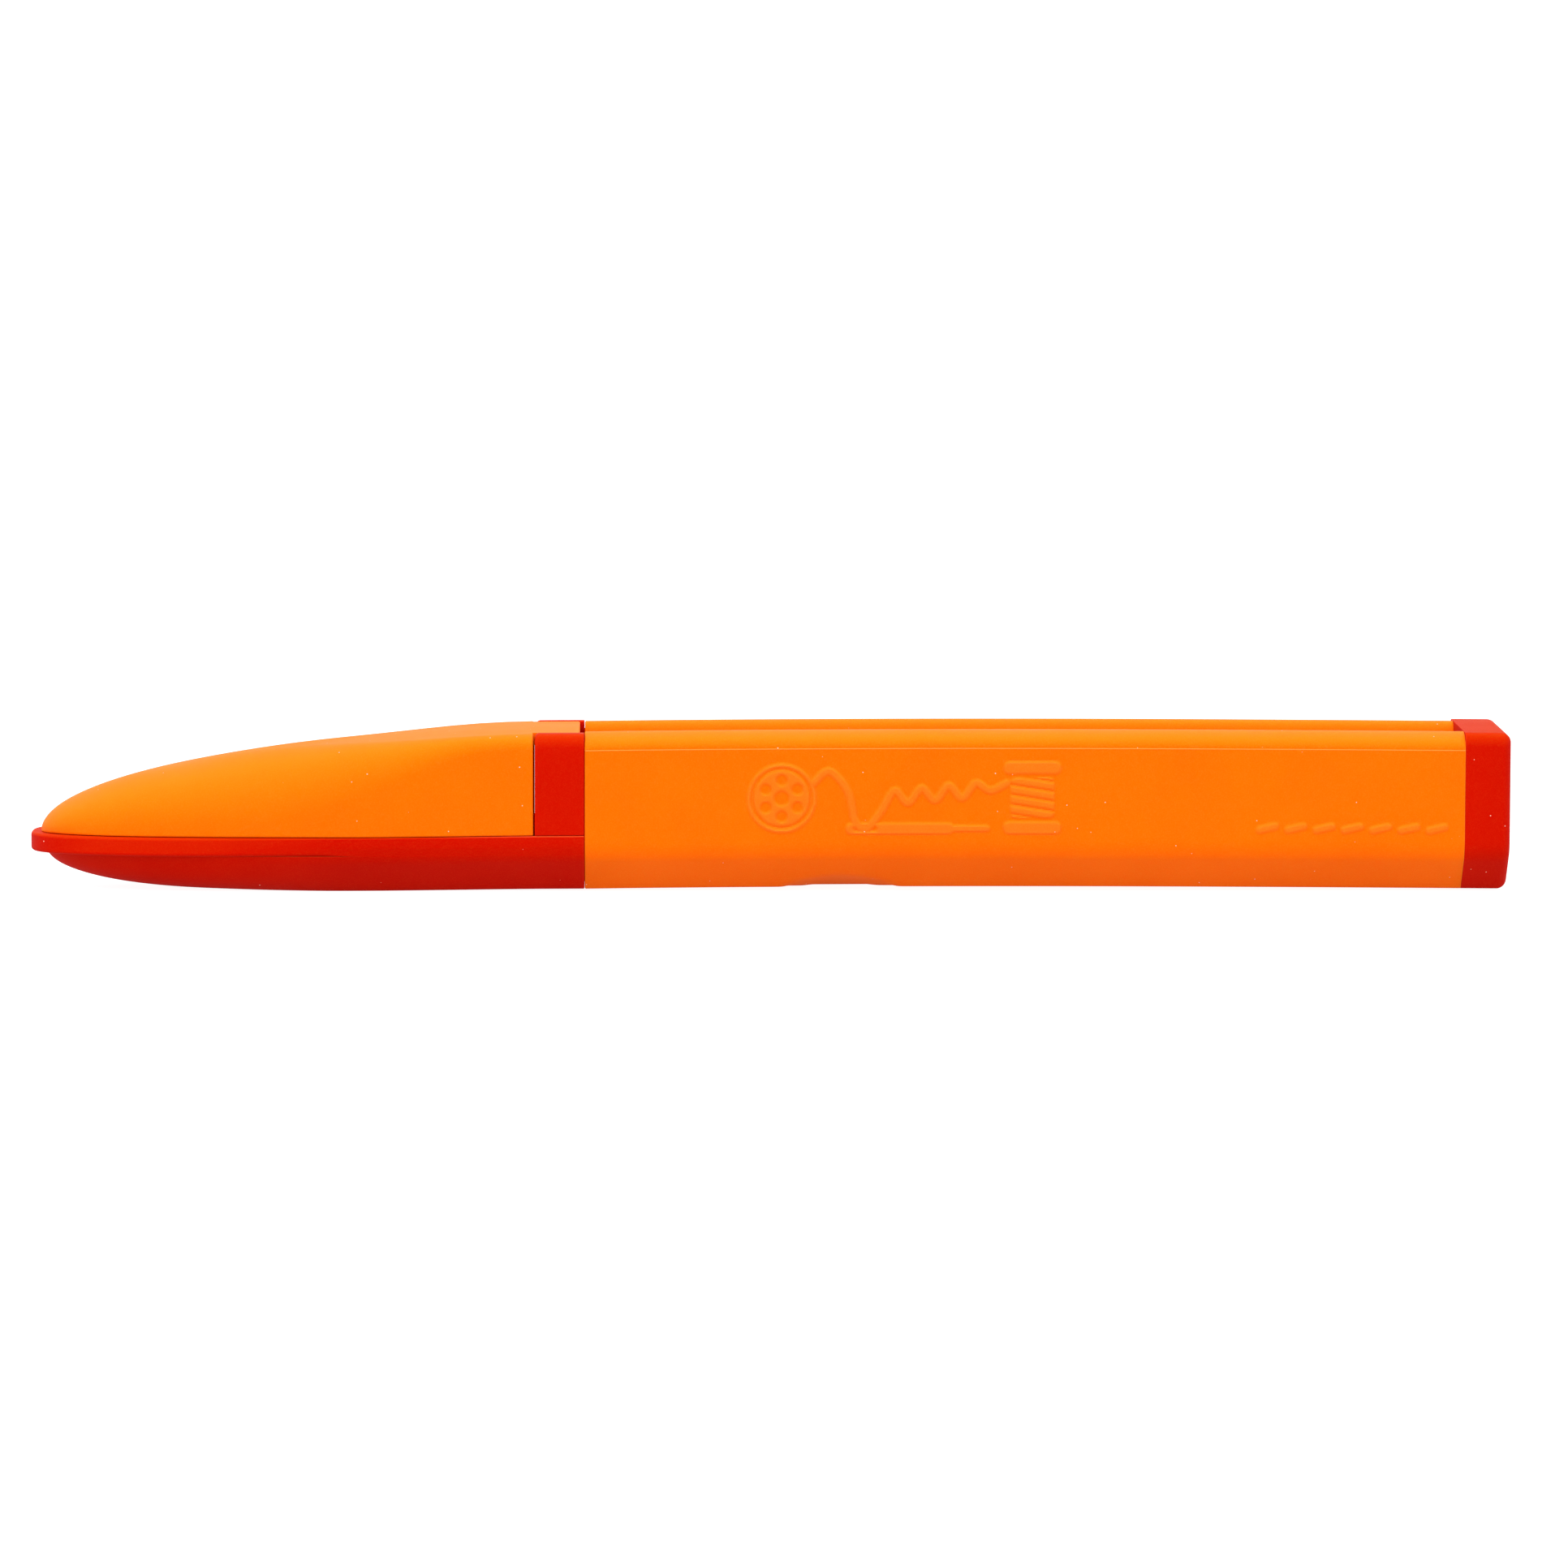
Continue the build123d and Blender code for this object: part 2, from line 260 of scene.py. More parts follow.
def shell(rings):
    """Vertices and faces of a closed skin through rings of equal length, both ends filled."""
    rows = len(rings)
    count = len(rings[0])
    faces = grid_faces(rows, count)
    faces.append(tuple(reversed(range(count))))
    faces.append(tuple(range((rows - 1) * count, rows * count)))
    return np.array(rings, float).reshape(-1, 3), faces


def joined(*parts):
    """Several (vertices, faces) pairs as one."""
    vertices = []
    faces = []
    for points, polygons in parts:
        offset = sum(len(v) for v in vertices)
        vertices.append(np.asarray(points, float))
        faces += [tuple(offset + i for i in polygon) for polygon in polygons]
    return np.concatenate(vertices), faces


def make_object(name, vertices, faces):
    """Clean mesh object from vertices in millimetres, doubles merged, normals outwards."""
    mesh = bpy.data.meshes.new(name)
    mesh.from_pydata([tuple(v) for v in np.asarray(vertices) * MM], [], faces)
    work = bmesh.new()
    work.from_mesh(mesh)
    bmesh.ops.remove_doubles(work, verts=work.verts, dist=2e-7)
    bmesh.ops.dissolve_degenerate(work, edges=work.edges, dist=1e-8)
    bmesh.ops.recalc_face_normals(work, faces=work.faces)
    work.to_mesh(mesh)
    work.free()
    obj = bpy.data.objects.new(name, mesh)
    bpy.context.scene.collection.objects.link(obj)
    return obj


def combine(obj, cutter, operation):
    """Joins or cuts obj's mesh with cutter's, and removes the cutter."""
    modifier = obj.modifiers.new("combine", "BOOLEAN")
    modifier.operation = operation
    modifier.object = cutter
    modifier.solver = "EXACT"
    graph = bpy.context.evaluated_depsgraph_get()
    result = bpy.data.meshes.new_from_object(obj.evaluated_get(graph))
    obj.modifiers.clear()
    obj.data = result
    bpy.data.objects.remove(cutter)
    return obj


def mark_paleness(obj, chosen):
    """Stores how pale the skin is at each vertex, worked out by chosen(x, |y|, z)."""
    points = np.empty(len(obj.data.vertices) * 3)
    obj.data.vertices.foreach_get("co", points)
    points = points.reshape(-1, 3) / MM
    marked = chosen(points[:, 0], np.abs(points[:, 1]), points[:, 2]).astype(np.float32)
    attribute = obj.data.attributes.new("flash", "FLOAT", "POINT")
    attribute.data.foreach_set("value", marked)


def settle(obj, sharp=34):
    """Bends the piece with the case's arch, and shades it smooth with flat faces kept flat."""
    points = np.empty(len(obj.data.vertices) * 3)
    obj.data.vertices.foreach_get("co", points)
    points = points.reshape(-1, 3)
    points[:, 2] += arch(points[:, 0] / MM) * MM
    obj.data.vertices.foreach_set("co", points.ravel())
    obj.data.shade_smooth()
    obj.data.set_sharp_from_angle(angle=np.radians(sharp))
    normals = obj.modifiers.new("flat faces", "WEIGHTED_NORMAL")
    normals.keep_sharp = True
    normals.weight = 60
    return obj


def place(obj, node, body, material):
    """The piece stands for its CAD node, rides on its body and takes its finish."""
    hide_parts(node)
    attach(obj, body)
    obj.data.materials.clear()
    obj.data.materials.append(material)
    return obj


# ---------------------------------------------------------------- channel outlines
def bottom_path(inset, slope_steps):
    """+Y outside of the case from the bottom centre over the chamfer to the foot of its side."""
    slope = np.arctan2(CHAMFER_TOP, HALF_WIDTH - BOTTOM_HALF)
    side = HALF_WIDTH - inset
    start = (0, inset)
    low = (BOTTOM_HALF - inset * np.tan(slope / 2), inset)
    high = (side, CHAMFER_TOP + inset * np.tan(np.pi / 4 - slope / 2))
    low_round = fillet(start, low, high, BOTTOM_ROUND)
    high_round = fillet(low, high, (side, HEIGHT), CHAMFER_SOFTNESS - inset, 12)
    return chain(
        line(start, low_round[0], 4),
        low_round,
        line(low_round[-1], high_round[0], slope_steps),
        high_round,
    )


def outside_path(inset=0.0, side_steps=12, last_turn=90):
    """+Y outside of the channel from the bottom centre up to the lip's crest, set in by inset."""
    side = HALF_WIDTH - inset
    spring = FLASH_Z + FLASH_TALL
    flash = [
        (side, FLASH_Z - 0.3),
        (side, FLASH_Z - 0.03),
        (side + FLASH_OUT, FLASH_Z + 0.02),
        (side + FLASH_OUT, spring - 0.04),
        (side, spring),
    ]
    bottom = bottom_path(inset, 8)
    ellipse = (side - LIP_Y, HEIGHT - inset - spring)
    return chain(
        bottom,
        line(bottom[-1], flash[0], side_steps),
        flash,
        arc((LIP_Y, spring), ellipse, 0, last_turn, 20),
    )


def lip_path(inset=0.0):
    """Rolled edge of the lip, from its crest down the mouth's side to its underside."""
    centre = (LIP_Y, LIP_UNDER_Z + LIP_EDGE)
    radii = (LIP_REACH - inset, HEIGHT - inset - centre[1])
    corner = (LIP_Y - radii[0] + LIP_EDGE, LIP_UNDER_Z)
    return arc(centre, radii, 90, 180, 16) + [corner, (LIP_Y, LIP_UNDER_Z)]


def under_lip_path(first_turn=90):
    """Inside of the channel from under the lip down to the floor's centre."""
    corner = CAVITY_HALF - LIP_Y
    high = LIP_UNDER_Z - corner
    low = FLOOR + CAVITY_CORNER
    return chain(
        arc((LIP_Y, high), (corner, corner), first_turn, 0, 8),
        line((CAVITY_HALF, high), (CAVITY_HALF, low), 8),
        arc((CAVITY_HALF - CAVITY_CORNER, low), (CAVITY_CORNER, CAVITY_CORNER), 0, -90, 16),
        line((CAVITY_HALF - CAVITY_CORNER, FLOOR), (0, FLOOR), 3),
    )


def socket_path(depth, count):
    """Inside of the sleeve's socket, from under the lip up behind it and down to the floor."""
    down = reversed(outside_path(depth))
    behind = LIP_Y + 0.15
    hook = [(LIP_Y, LIP_UNDER_Z), (behind, LIP_UNDER_Z + 0.05), (behind, HEIGHT - depth)]
    return resample(hook + [p for p in down if p[0] > behind or p[1] < LIP_Y], count)


# ---------------------------------------------------------------- raised motif of the sleeve
MOTIF_Z = 15.2
NEEDLE_Z = 10.2
STITCH_Z = 10.4
THREAD_RADIUS = 0.62
RELIEF_HEIGHT = 0.3


def capsule(x, z, start, end, radius):
    """Distance outside a straight rounded stroke; negative inside."""
    a = np.array(start)
    along = np.array(end) - a
    share = np.clip(((x - a[0]) * along[0] + (z - a[1]) * along[1]) / (along @ along), 0, 1)
    return np.hypot(x - a[0] - share * along[0], z - a[1] - share * along[1]) - radius


def stroke(x, z, points, radius):
    """Distance outside a rounded stroke that follows points."""
    distance = np.full(x.shape, 1e3)
    for start, end in zip(points, points[1:]):
        distance = np.minimum(distance, capsule(x, z, start, end, radius))
    return distance


def rounded_box(x, z, centre, half_x, half_z, radius):
    """Distance outside a rectangle with rounded corners."""
    dx = np.abs(x - centre[0]) - half_x + radius
    dz = np.abs(z - centre[1]) - half_z + radius
    outside = np.hypot(np.maximum(dx, 0), np.maximum(dz, 0))
    return outside + np.minimum(np.maximum(dx, dz), 0) - radius


def spool(x, z, centre):
    """Thread spool seen from its side: two flanges and wound thread with grooves."""
    cx, cz = centre
    flanges = np.minimum(
        rounded_box(x, z, (cx, cz + 4.9), 4.7, 1.05, 0.9),
        rounded_box(x, z, (cx, cz - 4.9), 4.7, 1.05, 0.9),
    )
    wound = rounded_box(x, z, (cx, cz), 3.6, 3.3, 0.9)
    groove = np.abs((z - cz + 0.16 * (x - cx) + 20.0) % 1.6 - 0.8) - 0.2
    return np.minimum(flanges, np.maximum(wound, -groove))


def bobbin(x, z, centre, radius):
    """Bobbin seen face on: a disc with a bordered edge, a hub and six round holes."""
    away = np.hypot(x - centre[0], z - centre[1])
    disc = np.maximum(away - radius, -(np.abs(away - radius * 0.84) - 0.2))
    disc = np.maximum(disc, 1.15 - away)
    for turn in np.radians(np.arange(30, 390, 60)):
        hole_x = centre[0] + radius * 0.52 * np.cos(turn)
        hole_z = centre[1] + radius * 0.52 * np.sin(turn)
        disc = np.maximum(disc, 0.85 - np.hypot(x - hole_x, z - hole_z))
    return disc


def flowing(knots, steps=10):
    """Smooth curve through knots."""
    padded = [knots[0]] + list(knots) + [knots[-1]]
    points = []
    for a, b, c, d in zip(padded, padded[1:], padded[2:], padded[3:]):
        a, b, c, d = (np.array(k) for k in (a, b, c, d))
        for t in np.linspace(0, 1, steps, endpoint=False):
            bend = (2 * a - 5 * b + 4 * c - d) * t * t + (3 * b - a - 3 * c + d) * t**3
            points.append(tuple(0.5 * (2 * b + (c - a) * t + bend)))
    return points + [tuple(padded[-1])]


def motif_distance(x, z):
    """Distance outside the raised motif: bobbin, thread through a needle, and spool."""
    distance = bobbin(x, z, (1.9, MOTIF_Z), 5.7)
    wave = [(7.0, 17.6), (9.6, 19.6), (12.6, 16.4), (13.8, 11.6), (15.6, 10.2), (18.0, 13.0)]
    wave += [(20.2, 16.4), (22.4, 14.4), (24.6, 16.8), (26.8, 14.8), (29.0, 17.2), (31.2, 15.2)]
    wave += [(33.4, 17.6), (35.8, 16.4), (38.4, 17.6)]
    distance = np.minimum(distance, stroke(x, z, flowing(wave), THREAD_RADIUS))
    body = capsule(x, z, (13.2, NEEDLE_Z), (29.0, NEEDLE_Z), 0.95)
    point = capsule(x, z, (27.0, NEEDLE_Z), (35.2, NEEDLE_Z), 0.55)
    eye = capsule(x, z, (14.0, NEEDLE_Z), (17.0, NEEDLE_Z), 0.38)
    needle = np.maximum(np.minimum(body, point), -eye)
    distance = np.minimum(distance, needle)
    return np.minimum(distance, spool(x, z, (42.6, MOTIF_Z)))


def stitch_distance(x, z):
    """Distance outside a row of raised running stitches."""
    distance = np.full(x.shape, 1e3)
    for index in range(7):
        start = 79.6 + index * 4.6
        dash = capsule(x, z, (start, STITCH_Z - 0.3), (start + 2.5, STITCH_Z + 0.3), THREAD_RADIUS)
        distance = np.minimum(distance, dash)
    return distance


def relief(x, z):
    """Height of the moulded relief on the sleeve's side, with softly rounded edges."""
    distance = np.minimum(motif_distance(x, z), stitch_distance(x, z))
    return RELIEF_HEIGHT * smooth_step(-distance, -0.16, 0.3)


# ---------------------------------------------------------------- sleeve
MOTIF_X = (-4.6, 48.6)
STITCH_X = (78.2, 110.8)
RELIEF_STEP = 0.2
GRIP_X = 11.6
GRIP_RADIUS = 40.5
GRIP_DEPTH = 1.25
GRIP_TILT = 23.2
GRIP_REACH = 15.0


def sleeve_stations():
    """Stations of the sleeve behind its socket: close together where it carries relief."""
    stretches = [
        np.linspace(SPIGOT_X + GAP, MOTIF_X[0], 11),
        np.arange(MOTIF_X[0], MOTIF_X[1], RELIEF_STEP)[1:],
        np.linspace(MOTIF_X[1], STITCH_X[0], 16),
        np.arange(STITCH_X[0], STITCH_X[1], RELIEF_STEP)[1:],
        np.array([STITCH_X[1], CAP_X - 1.2, CAP_X - 0.4]),
    ]
    return np.concatenate(stretches)


def round_scoops(points):
    """Pushes points out of the two balls that shape the thumb scoops."""
    reach = GRIP_RADIUS - GRIP_DEPTH
    tilt = np.radians(GRIP_TILT)
    for side in (-1, 1):
        centre = np.array((GRIP_X, side * (BOTTOM_HALF + reach * np.sin(tilt)), -reach * np.cos(tilt)))
        spokes = points - centre
        away = np.linalg.norm(spokes, axis=1)
        depth = GRIP_RADIUS - away
        push = 0.5 * (depth + np.sqrt(depth**2 + 0.01))
        push *= smooth_step(depth, -0.35, 0.1)
        points += spokes / away[:, None] * push[:, None]


def press_scoops(vertices):
    """Presses the thumb scoops into the sleeve's lower edges; the hollow's walls stay put."""
    low = (vertices[:, 2] < CHAMFER_TOP + 3) & (np.abs(vertices[:, 0] - GRIP_X) < GRIP_REACH)
    slope = CHAMFER_TOP / (HALF_WIDTH - BOTTOM_HALF)
    above_chamfer = vertices[:, 2] > (np.abs(vertices[:, 1]) - BOTTOM_HALF) * slope + 1.2
    hollow = (vertices[:, 2] > FLOOR - 0.01) & (np.abs(vertices[:, 1]) < CAVITY_HALF + 0.01)
    low &= ~(hollow & above_chamfer)
    pressed = vertices[low]
    round_scoops(pressed)
    vertices[low] = pressed


def raise_relief(vertices):
    """Raises the moulded relief on the sleeve's near side."""
    flat = (np.abs(vertices[:, 1] + HALF_WIDTH) < 1e-3) & (vertices[:, 2] < FLASH_Z - 0.2)
    vertices[flat, 1] -= relief(vertices[flat, 0], vertices[flat, 2])


def sleeve_flash_highlight_and_relief_tint(_x, y, z):
    """Paleness of the sleeve's skin: a painted highlight, full on the flash line, and a faint pale tint
    on the raised relief.
    """
    raised = np.clip((y - HALF_WIDTH) / RELIEF_HEIGHT, 0.0, 1.0)
    return np.where(z > FLASH_Z - 0.1, y > HALF_WIDTH + 0.5 * FLASH_OUT, 0.16 * raised)


def build_sleeve():
    """Open-topped channel with rolled lips, a front socket, thumb scoops and moulded relief."""
    inside = under_lip_path()
    fine_steps = 72

    def loop(inset, inner):
        """Closed section, its near side divided finely to carry the relief."""
        right = chain(outside_path(inset), lip_path(inset), inner)
        left = chain(outside_path(inset, fine_steps), lip_path(inset), inner)
        return both_sides(right, left)

    socket = socket_path(SKIN, len(inside))
    rings = [ring(x, loop(inset, socket)) for x, inset in quarter_round(SLEEVE_X, 0.22, 1)]
    rings.append(ring(SPIGOT_X + GAP, loop(0.0, socket)))
    rings += [ring(x, loop(0.0, inside)) for x in sleeve_stations()]
    rings += [ring(x, loop(inset, inside)) for x, inset in reversed(quarter_round(CAP_X, 0.05, -1))]
    vertices, faces = shell(rings)
    raise_relief(vertices)
    press_scoops(vertices)
    sleeve = make_object("sleeve_moulding", vertices, faces)
    mark_paleness(sleeve, sleeve_flash_highlight_and_relief_tint)
    return settle(sleeve)


# ---------------------------------------------------------------- end cap
CAP_RISE = 0.38
CAP_ROUND = 1.6
PLUG_PLAY = 0.06


def closed_path(top, inset=0.0):
    """+Y outline of a block as wide as the channel with a flat top, from bottom to top centre."""
    side = HALF_WIDTH - inset
    spring = top - SHOULDER_DROP
    bottom = bottom_path(inset, 5)
    ellipse = (side - SHOULDER_Y, top - inset - spring)
    return chain(
        bottom,
        line(bottom[-1], (side, spring), 10),
        arc((SHOULDER_Y, spring), ellipse, 0, 90, 14),
        line((SHOULDER_Y, top - inset), (0, top - inset), 10),
    )


def plug_path():
    """+Y outline of the plug, which fills the channel under its lips with a little play."""
    half = CAVITY_HALF - PLUG_PLAY
    low = FLOOR + PLUG_PLAY
    high = LIP_UNDER_Z - PLUG_PLAY
    corner = CAVITY_HALF - LIP_Y
    return chain(
        line((0, low), (half - CAVITY_CORNER, low), 3),
        arc((half - CAVITY_CORNER, low + CAVITY_CORNER), (CAVITY_CORNER, CAVITY_CORNER), -90, 0, 12),
        arc((half - corner, high - corner), (corner, corner), 0, 90, 6),
        line((half - corner, high), (0, high), 4),
    )


def build_cap():
    """Tail block with rounded rear edges and the shallow plug that closes the channel."""
    top = cap_high.z + CAP_RISE
    rings = []
    for x, inset in quarter_round(CAP_X + 0.01, 0.05, 1):
        rings.append(ring(x, both_sides(closed_path(top, inset))))
    rings.append(ring((CAP_X + TAIL_X) / 2, both_sides(closed_path(top))))
    for x, inset in reversed(quarter_round(TAIL_X, CAP_ROUND, -1, 10)):
        rings.append(ring(x, both_sides(closed_path(top, inset))))
    plug_rings = [ring(x, both_sides(plug_path())) for x in (cap_low.x, CAP_X - 0.2, CAP_X + 0.6)]
    vertices, faces = joined(shell(rings), shell(plug_rings))
    return settle(make_object("end_cap_moulding", vertices, faces))


# ---------------------------------------------------------------- collar
def post_path(drop):
    """Closed outline of one post, its top lowered by drop."""
    base = RIM_TOP + GAP
    top = POST_TOP - drop
    spring = top - SHOULDER_DROP
    inner = POST_INNER_Y + POST_ROUND
    outer = HALF_WIDTH - POST_ROUND
    corner = (POST_ROUND, POST_ROUND)
    return chain(
        arc((inner, base + POST_ROUND), corner, 180, 270, 4),
        line((inner, base), (outer, base), 3),
        arc((outer, base + POST_ROUND), corner, -90, 0, 4),
        line((HALF_WIDTH, base + POST_ROUND), (HALF_WIDTH, spring), 8),
        arc((SHOULDER_Y, spring), (HALF_WIDTH - SHOULDER_Y, SHOULDER_DROP), 0, 90, 14),
        line((SHOULDER_Y, top), (inner, top), 2),
        arc((inner, top - POST_ROUND), corner, 90, 180, 4),
    )


def shrink(loop, inset):
    """Closed anticlockwise loop moved inwards by inset."""
    points = np.array(loop)
    along = np.roll(points, -1, axis=0) - np.roll(points, 1, axis=0)
    inwards = np.stack([-along[:, 1], along[:, 0]], axis=1)
    inwards /= np.linalg.norm(inwards, axis=1, keepdims=True)
    return points + inwards * inset


def post(side):
    """One post, its front top corner rounder than its other edges."""
    edge = 0.16
    crown = 0.8

    def drop(x):
        """How far the round of the crown lowers the top at x."""
        ahead = max(crown - (x - POST_FRONT_X), 0)
        return crown - np.sqrt(crown**2 - ahead**2)

    rings = []
    for x, inset in quarter_round(POST_FRONT_X, edge, 1):
        rings.append(ring(x, shrink(post_path(drop(x)), inset)))
    for x in POST_FRONT_X + np.array((0.25, 0.36, 0.5, 0.65, 0.8, 1.0, 4.0)):
        rings.append(ring(x, post_path(drop(x))))
    for x, inset in reversed(quarter_round(POST_REAR_X, edge, -1)):
        rings.append(ring(x, shrink(post_path(0.0), inset)))
    vertices, faces = shell(rings)
    vertices[:, 1] *= side
    return vertices, faces


def ring_loop(cut):
    """C-shaped section of the ring, its two ends cut off square at cut from the centre."""
    depth = SKIN + GAP
    shoulder = HALF_WIDTH - depth - LIP_Y
    corner = CAVITY_HALF - LIP_Y
    outside = outside_path(depth, last_turn=np.degrees(np.arccos((cut - LIP_Y) / shoulder)))
    inside = under_lip_path(np.degrees(np.arccos((cut - LIP_Y) / corner)))
    return both_sides(chain(outside, line(outside[-1], inside[0], 4), inside))


def pivot(radius, reach):
    """Round bar on the hinge's axis, from -reach to reach across the case."""
    turns = np.radians(np.arange(0, 360, 15))
    circle = [(HINGE_X + radius * np.cos(t), HINGE_Z + radius * np.sin(t)) for t in turns]
    return shell([[(x, y, z) for x, z in circle] for y in (-reach, reach)])


def build_collar():
    """Two posts on a C-shaped ring whose rear half is the spigot, with blind pivot holes."""
    post_cut = POST_INNER_Y + 0.15
    spigot_cut = LIP_Y + 0.35
    rings = [ring(x, ring_loop(post_cut)) for x in (POST_FRONT_X + 1.0, POST_REAR_X - 0.1)]
    rings += [ring(x, ring_loop(spigot_cut)) for x in (POST_REAR_X, SPIGOT_X)]
    collar = make_object("collar_moulding", *shell(rings))
    for side in (-1, 1):
        combine(collar, make_object("post", *post(side)), "UNION")
    hole = make_object("hole", *pivot(TRUNNION_RADIUS + GAP, TRUNNION_END + 0.15))
    combine(collar, hole, "DIFFERENCE")
    return settle(collar)


# ---------------------------------------------------------------- nose plan and hood
RIDGE_LENGTHWISE = 1.8
RIDGE_UPWARD = 1.95
DIP = 0.46
DIP_X = -63.5
DIP_REACH = 13.0
ROUND_X = -92.0
SQUARE_X = -44.0
HOOD_EDGE = 0.3
# steps of the dome's side: its lower edge, its wall, its shoulder and its top as far as the tongue
SIDE_STEPS = (4, 8, 16, 3)
EDGE_STEPS = sum(SIDE_STEPS)
TONGUE_STEPS = 10


def blunt(x, tip_x):
    """Share of full width that the blunt nose curve has reached at x."""
    along = np.clip((x - tip_x) / NOSE_LENGTH, 0.0, 1.0)
    return (1 - (1 - along) ** PLAN_LENGTHWISE) ** (1 / PLAN_CROSSWISE)


def waist(x):
    """How far the hood and hull stand in from the rim at x."""
    return WAIST * (1 - smooth_step(x, FLUSH_X - NOSE_LENGTH, FLUSH_X))


def ridge(x, tip_x, height):
    """Height of the hood's ridge above its base at x."""
    along = np.clip((x - tip_x) / (HOOD_REAR_X - tip_x), 0.0, 1.0)
    dip = DIP * np.exp(-(((x - DIP_X) / DIP_REACH) ** 2)) * along
    return height * (1 - (1 - along) ** RIDGE_LENGTHWISE) ** (1 / RIDGE_UPWARD) - dip


def dome_path(x, half_width, rise, edge, tongue_share):
    """+Y side of an arched section from its bottom edge over to the centre of its top."""
    squareness = smooth_step(x, ROUND_X, SQUARE_X)
    side_z = HOOD_BASE + rise * (0.10 + 0.74 * squareness**1.6)
    flat_y = half_width * (0.10 + 0.70 * squareness)
    top = HOOD_BASE + rise
    tongue_y = flat_y * tongue_share
    edge = min(edge, 0.08 * half_width, 0.08 * rise)
    return chain(
        arc((half_width - edge, HOOD_BASE + edge), (edge, edge), -90, 0, SIDE_STEPS[0]),
        line((half_width, HOOD_BASE + edge), (half_width, side_z), SIDE_STEPS[1]),
        bezier(
            (half_width, side_z),
            (half_width, side_z + 0.6 * (top - side_z)),
            (flat_y + 0.6 * (half_width - flat_y), top),
            (flat_y, top),
            SIDE_STEPS[2],
        ),
        line((flat_y, top), (tongue_y, top), SIDE_STEPS[3]),
        line((tongue_y, top), (0, top), TONGUE_STEPS),
    )


def hood_outside(x, inset):
    """Outer arch of the hood at x; where it is set in, its top keeps its place beside the tongue."""
    half_width = max(blunt(x, HOOD_TIP_X) * (HALF_WIDTH - waist(x)) - inset, 0.0)
    rise = max(ridge(x, HOOD_TIP_X, HOOD_CREST - HOOD_BASE) - inset, 0.0)
    outer = dome_path(x, half_width, rise, HOOD_EDGE, TONGUE_SHARE)
    if inset:
        full = dome_path(x, HALF_WIDTH, HOOD_CREST - HOOD_BASE, HOOD_EDGE, TONGUE_SHARE)
        outer = outer[:EDGE_STEPS] + full[EDGE_STEPS:]
    return outer


def hood_inside(x):
    """Inner arch of the hood at x; near the rear its top spreads to the tongue's width."""
    tip_x = HOOD_TIP_X + HOOD_SETBACK
    half_width = blunt(x, tip_x) * (HALF_WIDTH - waist(x) - HOOD_WALL)
    rise = ridge(x, tip_x, HOOD_CREST - HOOD_BASE - HOOD_WALL)
    inner = np.array(dome_path(x, half_width, rise, 0.5 * HOOD_EDGE, 1.0))
    top = inner[:, 1] > HOOD_BASE + rise - 1e-6
    flat_y = inner[EDGE_STEPS, 0]
    spread = smooth_step(x, HOOD_REAR_X - 12, HOOD_REAR_X - 1) * TONGUE_HALF
    inner[top, 0] *= max(flat_y, spread) / max(flat_y, 1e-6)
    return [tuple(p) for p in inner]


def hood_rings():
    """Closed arch sections of the hood's shell from its tip to its rear edge."""
    length = HOOD_REAR_X - HOOD_TIP_X
    tip = HOOD_TIP_X + length * np.linspace(0, 1, 46) ** 2.6
    hollow = HOOD_TIP_X + HOOD_SETBACK + np.array((0.0, 0.03, 0.12, 0.35, 0.8, 1.5))
    stations = np.unique(np.round(np.concatenate([tip[tip < HOOD_REAR_X - 0.6], hollow]), 4))
    sections = [(x, 0.0) for x in stations] + list(reversed(quarter_round(HOOD_REAR_X, 0.35, -1)))
    rings = []
    for x, inset in sections:
        outer = hood_outside(x, inset)
        inner = hood_inside(x)
        over = outer + [(-y, z) for y, z in outer[-2::-1]]
        under = inner + [(-y, z) for y, z in inner[-2::-1]]
        rings.append(ring(x, over + under[::-1]))
    return rings


def tongue_profile():
    """(x, z) points over the tongue, round its rear bead and back under it to the hood."""
    round_x = TONGUE_END_X - TONGUE_ROUND
    under_z = HOOD_CREST - TONGUE_THICK
    path = chain(
        line((HOOD_REAR_X, HOOD_CREST), (round_x, HOOD_CREST), 7),
        arc((round_x, HOOD_CREST - TONGUE_ROUND), (TONGUE_ROUND, TONGUE_ROUND), 90, 0, 5),
        arc((HINGE_X, HINGE_Z), (BEAD_RADIUS, BEAD_RADIUS), 0, -150, 14),
        line((HINGE_X - BEAD_RADIUS, under_z), (HOOD_REAR_X, under_z), 5),
    )
    return path[1:-1]


def build_hood():
    """Streamlined hood shell whose flat top runs on into the hinge tongue."""
    rings = hood_rings()
    count = len(rings[0])
    faces = grid_faces(len(rings), count)
    vertices = [p for r in rings for p in r]
    # rear ring: indices of its outer arch, and of the points of its inner arch that face them
    outer = [(len(rings) - 1) * count + column for column in range(count // 2)]
    inner = [len(vertices) - 1 - column for column in range(count // 2)]
    last = len(outer) - 1
    for i in list(range(EDGE_STEPS)) + list(range(last - EDGE_STEPS, last)):
        faces.append((outer[i], outer[i + 1], inner[i + 1], inner[i]))
    # the tongue carries the middle of the outer arch round its bead to the inner arch
    rows = [outer[EDGE_STEPS : last + 1 - EDGE_STEPS]]
    across = [vertices[i][1] for i in rows[0]]
    for x, z in tongue_profile():
        rows.append(list(range(len(vertices), len(vertices) + len(across))))
        vertices += [(x, y, z) for y in across]
    rows.append(inner[EDGE_STEPS : last + 1 - EDGE_STEPS])
    for row, after in zip(rows, rows[1:]):
        faces += [(row[i], row[i + 1], after[i + 1], after[i]) for i in range(len(row) - 1)]
    faces.append(tuple(row[0] for row in rows))
    faces.append(tuple(row[-1] for row in rows))
    vertices, faces = joined((vertices, faces), pivot(TRUNNION_RADIUS, TRUNNION_END))
    return settle(make_object("hood_moulding", vertices, faces))


